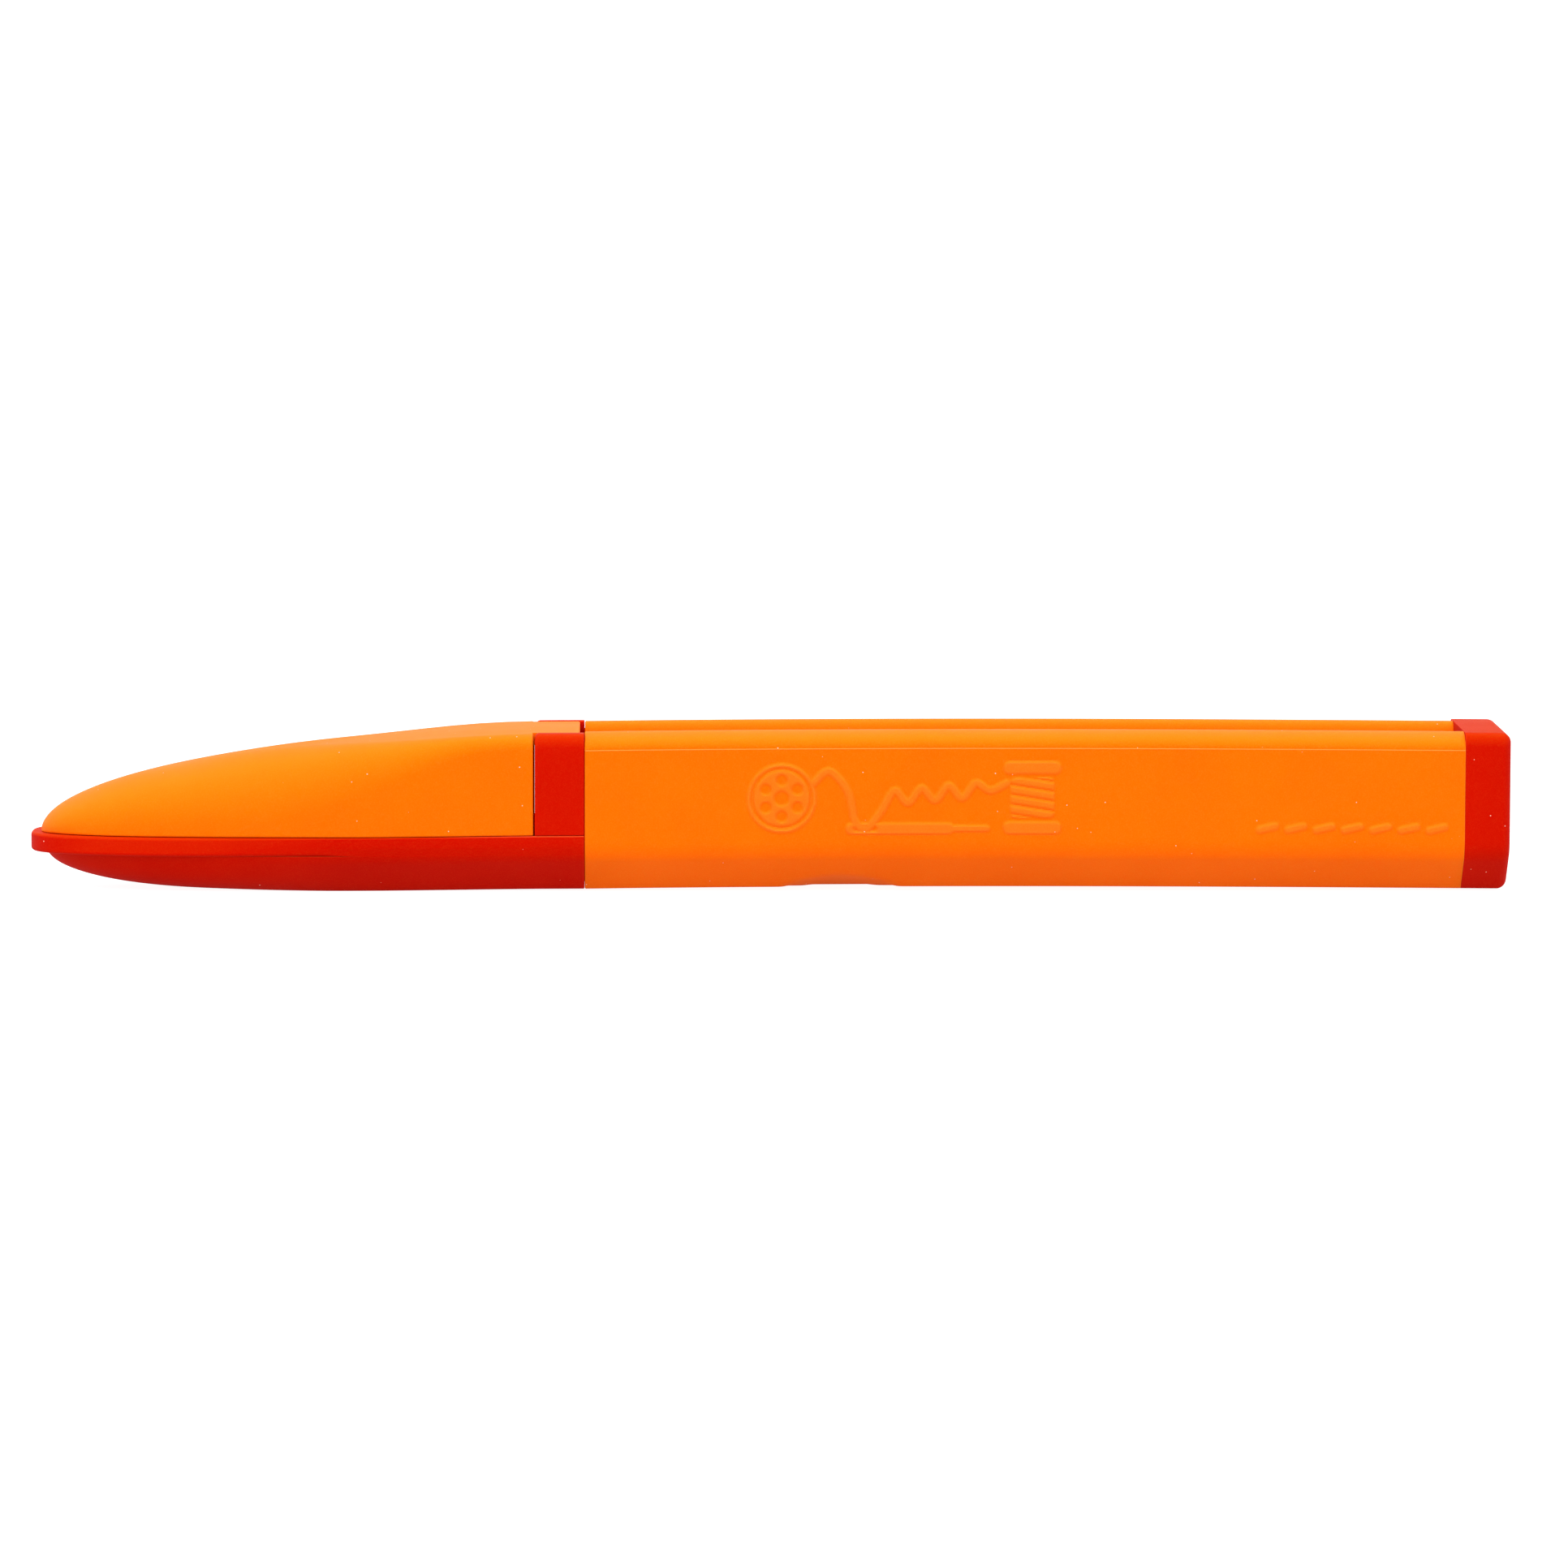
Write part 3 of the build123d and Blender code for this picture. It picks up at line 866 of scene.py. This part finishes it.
# ---------------------------------------------------------------- nose tray
SWEEP_LENGTH = 28.0
ROCKER_LENGTH = 46.0
ROCKER_RISE = 1.0
STRAIGHT_PSI = np.pi / 2


def keel(x):
    """Height of the hull's underside: a quick sweep up at the tip on top of a longer rocker."""
    along = np.clip((x - HULL_TIP_X) / SWEEP_LENGTH, 0.0, 1.0)
    sweep = 0.9 * RIM_BOTTOM * (1 - (1 - (1 - along) ** 2.4) ** 0.5)
    rocker = ROCKER_RISE * (1 - np.clip((x - HULL_TIP_X) / ROCKER_LENGTH, 0.0, 1.0)) ** 1.3
    return np.minimum(sweep + rocker, RIM_BOTTOM - 0.15)


def side_in(z):
    """How far the straight case's outside stands in from its vertical side at height z."""
    path = np.array([p for p in outside_path() if p[1] < FLASH_Z - 1])
    return np.interp(z, path[:, 1], HALF_WIDTH - path[:, 0])


def boxiness(x):
    """0 where the hull is round like a boat, 1 where it has the channel's chamfered section."""
    return smooth_step(x, FLUSH_X - 34, FLUSH_X + 2)


def hull_path(x, half_width):
    """+Y side of the hull at x from the keel's centre up to the rim's underside."""
    low = keel(x)
    depth = RIM_BOTTOM - low
    bottom_y = half_width * (0.2 + 0.3 * smooth_step(x, HULL_TIP_X, FLUSH_X))
    curve = chain(
        line((0, low), (bottom_y, low), 3),
        bezier(
            (bottom_y, low),
            (bottom_y + 0.62 * (half_width - bottom_y), low),
            (half_width - 0.22 * (half_width - bottom_y), RIM_BOTTOM - 0.5 * depth),
            (half_width, RIM_BOTTOM),
            24,
        ),
    )
    steps = 44
    rounded = np.array(resample(curve, steps))
    straight = [p for p in outside_path() if p[1] < RIM_BOTTOM - 0.01]
    straight.append((HALF_WIDTH - side_in(RIM_BOTTOM), RIM_BOTTOM))
    boxy = np.array(resample(straight, steps))
    boxy = boxy * (half_width / HALF_WIDTH, depth / RIM_BOTTOM) + (0, low)
    share = boxiness(x)
    return rounded * (1 - share) + boxy * share


def rim_profile(x, proud):
    """(inset, height) points up the rim's outer face, its lower round fading where it is flush."""
    low_round = min(RIM_ROUND, 0.7 * proud)
    fullness = smooth_step(-x, -RIM_FADED_X, -RIM_FULL_X)
    top_round = RIM_FLUSH_ROUND + (RIM_ROUND - RIM_FLUSH_ROUND) * fullness
    points = []
    for turn in np.radians(np.linspace(0, 90, 6)):
        points.append((low_round * (1 - np.sin(turn)), RIM_BOTTOM + low_round * (1 - np.cos(turn))))
    for z in np.linspace(RIM_BOTTOM + RIM_ROUND, RIM_TOP - RIM_ROUND, 5)[1:-1]:
        points.append((0.0, z))
    points.append((0.0, RIM_TOP - top_round - 0.04))
    for turn in np.radians(np.linspace(0, 90, 7)):
        points.append((top_round * (1 - np.cos(turn)), RIM_TOP - top_round * (1 - np.sin(turn))))
    share = boxiness(x)
    leaning = fullness * smooth_step(x, RIM_TIP_X + 1, RIM_TIP_X + 12)
    lean = RIM_LEAN * leaning / (RIM_TOP - RIM_BOTTOM)
    return [(inset + share * side_in(z) + lean * (z - RIM_BOTTOM), z) for inset, z in points]


def coaming_path(outer, inner):
    """Points over the tray's upstand, from its outer foot to the top of its inner face."""
    across = np.array(inner) - np.array(outer)
    rounded = ((0.0, 0.25), (0.1, 0.07), (0.3, 0.0), (0.7, 0.0), (0.9, 0.07), (1.0, 0.25))
    points = [(*outer, RIM_TOP)]
    for share, drop in rounded:
        x, y = np.array(outer) + across * share
        points.append((x, y, COAMING_TOP - drop))
    return points


def well_path(x, half_width):
    """Round-bottomed hollow of the tray at x, from under its upstand to the floor's centre."""
    floor = keel(x) + FLOOR
    corner = min(CAVITY_CORNER, 0.85 * (RIM_TOP - floor), max(0.85 * half_width, 0.01))
    return chain(
        line((half_width, RIM_TOP - 0.2), (half_width, floor + corner), 3),
        arc((half_width - corner, floor + corner), (corner, corner), 0, -90, 14),
        line((half_width - corner, floor), (0, floor), 4),
    )


def plan_point(psi, along, tip_x, inset, waisted):
    """Point of a blunt plan outline: round its tip by psi, then along its straight side."""
    x = tip_x + NOSE_LENGTH * (1 - np.cos(psi) ** (2 / PLAN_LENGTHWISE))
    x += along * (POST_FRONT_X - tip_x - NOSE_LENGTH)
    width = HALF_WIDTH - inset - (waist(x) if waisted else 0.0)
    return x, np.sin(psi) ** (2 / PLAN_CROSSWISE) * width


def plan_inward(psi, along):
    """Unit step inwards, square to the rim's plan outline."""
    if psi == 0:
        return np.array((1.0, 0.0))
    ahead = plan_point(min(psi + 0.01, STRAIGHT_PSI), along, RIM_TIP_X, 0.0, False)
    behind = plan_point(psi - 0.01, along, RIM_TIP_X, 0.0, False)
    step = np.array(ahead) - np.array(behind)
    return np.array((step[1], -step[0])) / np.linalg.norm(step)


def tray_row(psi, along):
    """One row of the tray's skin, from the keel's centre round the rim to the hollow's floor."""
    hull_x, hull_y = plan_point(psi, along, HULL_TIP_X, 0.0, True)
    rim_x, rim_y = plan_point(psi, along, RIM_TIP_X, 0.0, False)
    proud = np.hypot(hull_x - rim_x, hull_y - rim_y)
    inward = plan_inward(psi, along)
    proud = min(proud, RIM_PROUD) * (1 - smooth_step(rim_x, FLUSH_X - 14, FLUSH_X))
    row = [(hull_x, y, z) for y, z in hull_path(hull_x, hull_y)]
    for inset, z in rim_profile(rim_x, proud):
        row.append((rim_x + inward[0] * inset, rim_y + inward[1] * inset, z))
    outer = plan_point(psi, along, COAMING_OUT_TIP_X, COAMING_OUT, False)
    inner = plan_point(psi, along, COAMING_IN_TIP_X, COAMING_IN, False)
    well_x, well_y = plan_point(psi, along, HULL_TIP_X + COAMING_IN, COAMING_IN, True)
    row += coaming_path(outer, inner)
    return row + [(well_x, y, z) for y, z in well_path(well_x, well_y)]


def tray_rear_row(x, inset, inside, count):
    """One row of the tray where it holds the collar's ring, its outside shrunk by inset."""
    straight_x = FLUSH_X + 10
    outside = list(hull_path(straight_x, HALF_WIDTH))
    outside += [(HALF_WIDTH - stand_in, z) for stand_in, z in rim_profile(straight_x, 0.0)]
    middle = np.array((0.0, 7.0))
    mean_reach = 8.0
    shrunk = middle + (np.array(outside) - middle) * (1 - inset / mean_reach)
    below = [p for p in inside if p[1] < RIM_TOP]
    down = [(below[0][0], shrunk[-1][1])] + below
    return ring(x, [tuple(p) for p in shrunk] + resample(down, count - len(shrunk)))


def rim_edge_highlight(x, y, z):
    """Paleness of the tray's skin: a painted highlight along its rim's top edge, fading in towards the
    posts.
    """
    return (z > RIM_TOP - 0.13) * (y > HALF_WIDTH - 0.45) * smooth_step(x, -58, -40)


def build_tray():
    """Boat-shaped tray with a proud rounded rim, an upstand inside the hood and a hollow."""
    turns = [(psi, 0.0) for psi in np.linspace(0, STRAIGHT_PSI, 40)]
    turns += [(STRAIGHT_PSI, along) for along in np.linspace(0, 1, 28)[1:]]
    rows = [tray_row(psi, along) for psi, along in turns]
    count = len(rows[0])
    step_x = POST_FRONT_X + 0.95
    edge = 0.12
    socket = list(reversed(outside_path(SKIN)))
    rows.append(tray_rear_row(step_x, 0.0, under_lip_path(), count))
    rows.append(tray_rear_row(step_x, 0.0, socket, count))
    rows.append(tray_rear_row(TRAY_REAR_X - edge, 0.0, socket, count))
    rows.append(tray_rear_row(TRAY_REAR_X, edge, socket, count))
    rings = [row + [(x, -y, z) for x, y, z in reversed(row)] for row in rows]
    tray = make_object("tray_moulding", *shell(rings))
    mark_paleness(tray, rim_edge_highlight)
    return settle(tray)


# ---------------------------------------------------------------- silicone
DUST_COLOUR = (0.95, 0.62, 0.5)


def add_node(tree, kind, links=None, **values):
    """Node of the given kind with its input values set and its inputs linked."""
    node = tree.nodes.new(kind)
    for key, value in values.items():
        if hasattr(node, key):
            setattr(node, key, value)
        else:
            node.inputs[key.replace("_", " ")].default_value = value
    for key, output in (links or {}).items():
        tree.links.new(output, node.inputs[key])
    return node


def ramp(tree, source, stops):
    """Colour ramp over source with (position, grey or colour) stops."""
    node = add_node(tree, "ShaderNodeValToRGB", {0: source})
    while len(node.color_ramp.elements) < len(stops):
        node.color_ramp.elements.new(0.5)
    for element, (position, value) in zip(node.color_ramp.elements, stops):
        element.position = position
        element.color = (value, value, value, 1) if np.isscalar(value) else (*value, 1)
    return node.outputs["Color"]


def mix(tree, share, first, second):
    """Mix of two colours; share is an output or a number, the colours are outputs or tuples."""
    node = tree.nodes.new("ShaderNodeMix")
    node.data_type = "RGBA"
    for socket, value in ((node.inputs[0], share), (node.inputs[6], first), (node.inputs[7], second)):
        if isinstance(value, bpy.types.NodeSocket):
            tree.links.new(value, socket)
        else:
            socket.default_value = value if np.isscalar(value) else (*value, 1)
    return node.outputs[2]


def worn_and_highlit_edges(tree):
    """Paler sharp edges, partly wear and partly a painted highlight where edges catch light, found where
    the rounded normal turns away from the true one.
    """
    smooth = add_node(tree, "ShaderNodeBevel", samples=4, Radius=0.2 * MM)
    facing = add_node(tree, "ShaderNodeNewGeometry")
    turn = add_node(tree, "ShaderNodeVectorMath", operation="DOT_PRODUCT")
    tree.links.new(smooth.outputs[0], turn.inputs[0])
    tree.links.new(facing.outputs["Normal"], turn.inputs[1])
    return ramp(tree, turn.outputs["Value"], [(0.8, 0.45), (0.985, 0.0)])


def dust(tree, cells):
    """Specks of dust: the very middle of a few of the cells."""
    near = ramp(tree, cells.outputs["Distance"], [(0.03, 1.0), (0.05, 0.0)])
    lot = add_node(tree, "ShaderNodeSeparateColor", {0: cells.outputs["Color"]})
    rare = add_node(tree, "ShaderNodeMath", {0: lot.outputs[0]}, operation="GREATER_THAN")
    rare.inputs[1].default_value = 0.45
    speck = add_node(tree, "ShaderNodeMath", {0: near, 1: rare.outputs[0]}, operation="MULTIPLY")
    return speck.outputs[0]


def silicone(name, colour, deep, top_highlight, pale, radius, gloss):
    """Soft matte silicone: light scatters inside, with cloudy tint, fine grain, edges paler from wear and
    a painted highlight, a painted highlight on faces that look up and along pale lines, dust.
    """
    material = bpy.data.materials.new(name)
    material.use_nodes = True
    tree = material.node_tree
    shader = tree.nodes["Principled BSDF"]
    where = add_node(tree, "ShaderNodeTexCoord")
    mapping = add_node(tree, "ShaderNodeMapping", {0: where.outputs["Object"]}, Scale=(1 / MM,) * 3)
    millimetres = {"Vector": mapping.outputs[0]}
    cloud = add_node(tree, "ShaderNodeTexNoise", millimetres, Scale=0.07, Detail=3.0)
    grain = add_node(tree, "ShaderNodeTexNoise", millimetres, Scale=5.0, Detail=4.0)
    cells = add_node(tree, "ShaderNodeTexVoronoi", millimetres, Scale=0.45)
    tint = mix(tree, ramp(tree, cloud.outputs["Fac"], [(0.35, 0.0), (0.7, 1.0)]), colour, deep)
    # painted highlight: a paler colour on faces that look up, standing in for light from above
    up = add_node(tree, "ShaderNodeSeparateXYZ", {0: where.outputs["Normal"]}).outputs["Z"]
    top_highlit = mix(tree, ramp(tree, up, [(0.05, 0.0), (0.8, 1.0)]), tint, top_highlight)
    grained = mix(tree, ramp(tree, grain.outputs["Fac"], [(0.45, 0.0), (0.8, 0.15)]), top_highlit, pale)
    edged = mix(tree, worn_and_highlit_edges(tree), grained, pale)
    # painted highlight on the flash line and the rim's top edge, and a faint pale tint on the raised
    # relief
    flash = add_node(tree, "ShaderNodeAttribute", attribute_name="flash").outputs["Fac"]
    highlit_and_tinted = mix(tree, ramp(tree, flash, [(0.0, 0.0), (1.0, 0.75)]), edged, pale)
    tree.links.new(mix(tree, dust(tree, cells), highlit_and_tinted, DUST_COLOUR), shader.inputs["Base Color"])
    tree.links.new(tint, shader.inputs["Specular Tint"])
    rough = ramp(tree, cloud.outputs["Fac"], [(0.3, 0.56), (0.7, 0.66)])
    tree.links.new(rough, shader.inputs["Roughness"])
    bump = add_node(tree, "ShaderNodeBump", {"Height": grain.outputs["Fac"]}, Strength=0.35)
    bump.inputs["Distance"].default_value = 0.012 * MM
    tree.links.new(bump.outputs[0], shader.inputs["Normal"])
    shader.inputs["IOR"].default_value = 1.41
    shader.inputs["Specular IOR Level"].default_value = gloss
    shader.inputs["Subsurface Weight"].default_value = 0.25
    shader.inputs["Subsurface Radius"].default_value = radius
    shader.inputs["Subsurface Scale"].default_value = 1.2 * MM
    return material


# ---------------------------------------------------------------- stage, light and camera
FLOOR_DROP = 0.05
CAMERA_AIM = (2.3, -11.5, 4.72)
CAMERA_AZIMUTH = -1.2
CAMERA_PITCH = 6.06
CAMERA_ROLL = -0.126
CAMERA_DISTANCE = 1.342
CAMERA_LENS = 189.8


def white_floor():
    """Plain pale floor just under the case."""
    level = (arch(FLUSH_X) - FLOOR_DROP) * MM
    mesh = bpy.data.meshes.new("floor")
    corners = [(-6, -6, level), (6, -6, level), (6, 9, level), (-6, 9, level)]
    mesh.from_pydata(corners, [], [(0, 1, 2, 3)])
    floor = bpy.data.objects.new("floor", mesh)
    bpy.context.scene.collection.objects.link(floor)
    material = bpy.data.materials.new("floor_paper")
    material.use_nodes = True
    tree = material.node_tree
    shader = tree.nodes["Principled BSDF"]
    path = add_node(tree, "ShaderNodeLightPath")
    shade = mix(tree, path.outputs["Is Camera Ray"], (0.45, 0.44, 0.43), (0.35, 0.35, 0.35))
    tree.links.new(shade, shader.inputs["Base Color"])
    glow = ramp(tree, path.outputs["Is Camera Ray"], [(0.0, 0.3), (1.0, 0.93)])
    tree.links.new(glow, shader.inputs["Emission Strength"])
    shader.inputs["Emission Color"].default_value = (1.0, 1.0, 1.0, 1.0)
    shader.inputs["Roughness"].default_value = 1.0
    shader.inputs["Specular IOR Level"].default_value = 0.0
    mesh.materials.append(material)


def white_world():
    """Even white surroundings that light the case, a little stronger from above."""
    world = bpy.data.worlds.new("studio")
    world.use_nodes = True
    tree = world.node_tree
    background = tree.nodes["Background"]
    direction = add_node(tree, "ShaderNodeTexCoord").outputs["Generated"]
    split = add_node(tree, "ShaderNodeSeparateXYZ", {0: direction})
    glow = ramp(tree, split.outputs["Z"], [(0.0, 0.92), (0.9, 1.0)])
    path = add_node(tree, "ShaderNodeLightPath")
    shade = mix(tree, path.outputs["Is Camera Ray"], glow, (1.0, 1.0, 1.0))
    tree.links.new(shade, background.inputs["Color"])
    background.inputs["Strength"].default_value = 1.1
    bpy.context.scene.world = world


def softbox(name, position, target, size, power):
    """Large soft area light aimed at target."""
    lamp = bpy.data.lights.new(name, "AREA")
    lamp.shape = "RECTANGLE"
    lamp.size, lamp.size_y = size
    lamp.energy = power
    obj = bpy.data.objects.new(name, lamp)
    obj.location = position
    obj.rotation_euler = (Vector(target) - Vector(position)).to_track_quat("-Z", "Y").to_euler()
    bpy.context.scene.collection.objects.link(obj)


def add_camera():
    """Long lens at a little above the case, almost square to its side."""
    low, high = cad_bounds
    middle = (Vector(low) + Vector(high)) / 2
    aim = middle + Vector(CAMERA_AIM) * MM
    azimuth = np.radians(CAMERA_AZIMUTH)
    pitch = np.radians(CAMERA_PITCH)
    level = np.cos(pitch)
    forward = Vector((-np.sin(azimuth) * level, np.cos(azimuth) * level, -np.sin(pitch)))
    camera = bpy.data.cameras.new("camera")
    camera.lens = CAMERA_LENS
    camera.sensor_width = 36.0
    obj = bpy.data.objects.new("camera", camera)
    obj.location = aim - forward * CAMERA_DISTANCE
    roll = Quaternion(forward, np.radians(CAMERA_ROLL))
    obj.rotation_euler = (roll @ forward.to_track_quat("-Z", "Y")).to_euler()
    bpy.context.scene.collection.objects.link(obj)
    bpy.context.scene.camera = obj


# ---------------------------------------------------------------- the case
orange = silicone(
    "orange_silicone_skin",
    colour=(0.95, 0.149, 0.0),
    deep=(0.92, 0.137, 0.0),
    # painted highlight colour for faces that look up
    top_highlight=(1.0, 0.205, 0.002),
    pale=(1.0, 0.34, 0.06),
    radius=(1.0, 0.25, 0.03),
    gloss=0.3,
)
red = silicone(
    "red_silicone_skin",
    colour=(0.56, 0.0055, 0.0),
    deep=(0.53, 0.004, 0.0),
    # painted highlight colour for faces that look up
    top_highlight=(0.6, 0.028, 0.0),
    pale=(0.8, 0.08, 0.02),
    radius=(1.0, 0.05, 0.03),
    gloss=0.1,
)

place(build_sleeve(), "sleeve", "sleeve", orange)
place(build_cap(), "end_cap", "sleeve", red)
place(build_collar(), "collar", "nose", red)
place(build_tray(), "nose_tray", "nose", red)
place(build_hood(), "nose_lid", "lid", orange)

white_floor()
white_world()
softbox("front_top_light", position=(-0.2, -1.1, 1.2), target=(0, 0, 0), size=(1.8, 0.9), power=16.0)
add_camera()
bpy.context.scene.view_settings.view_transform = "Standard"
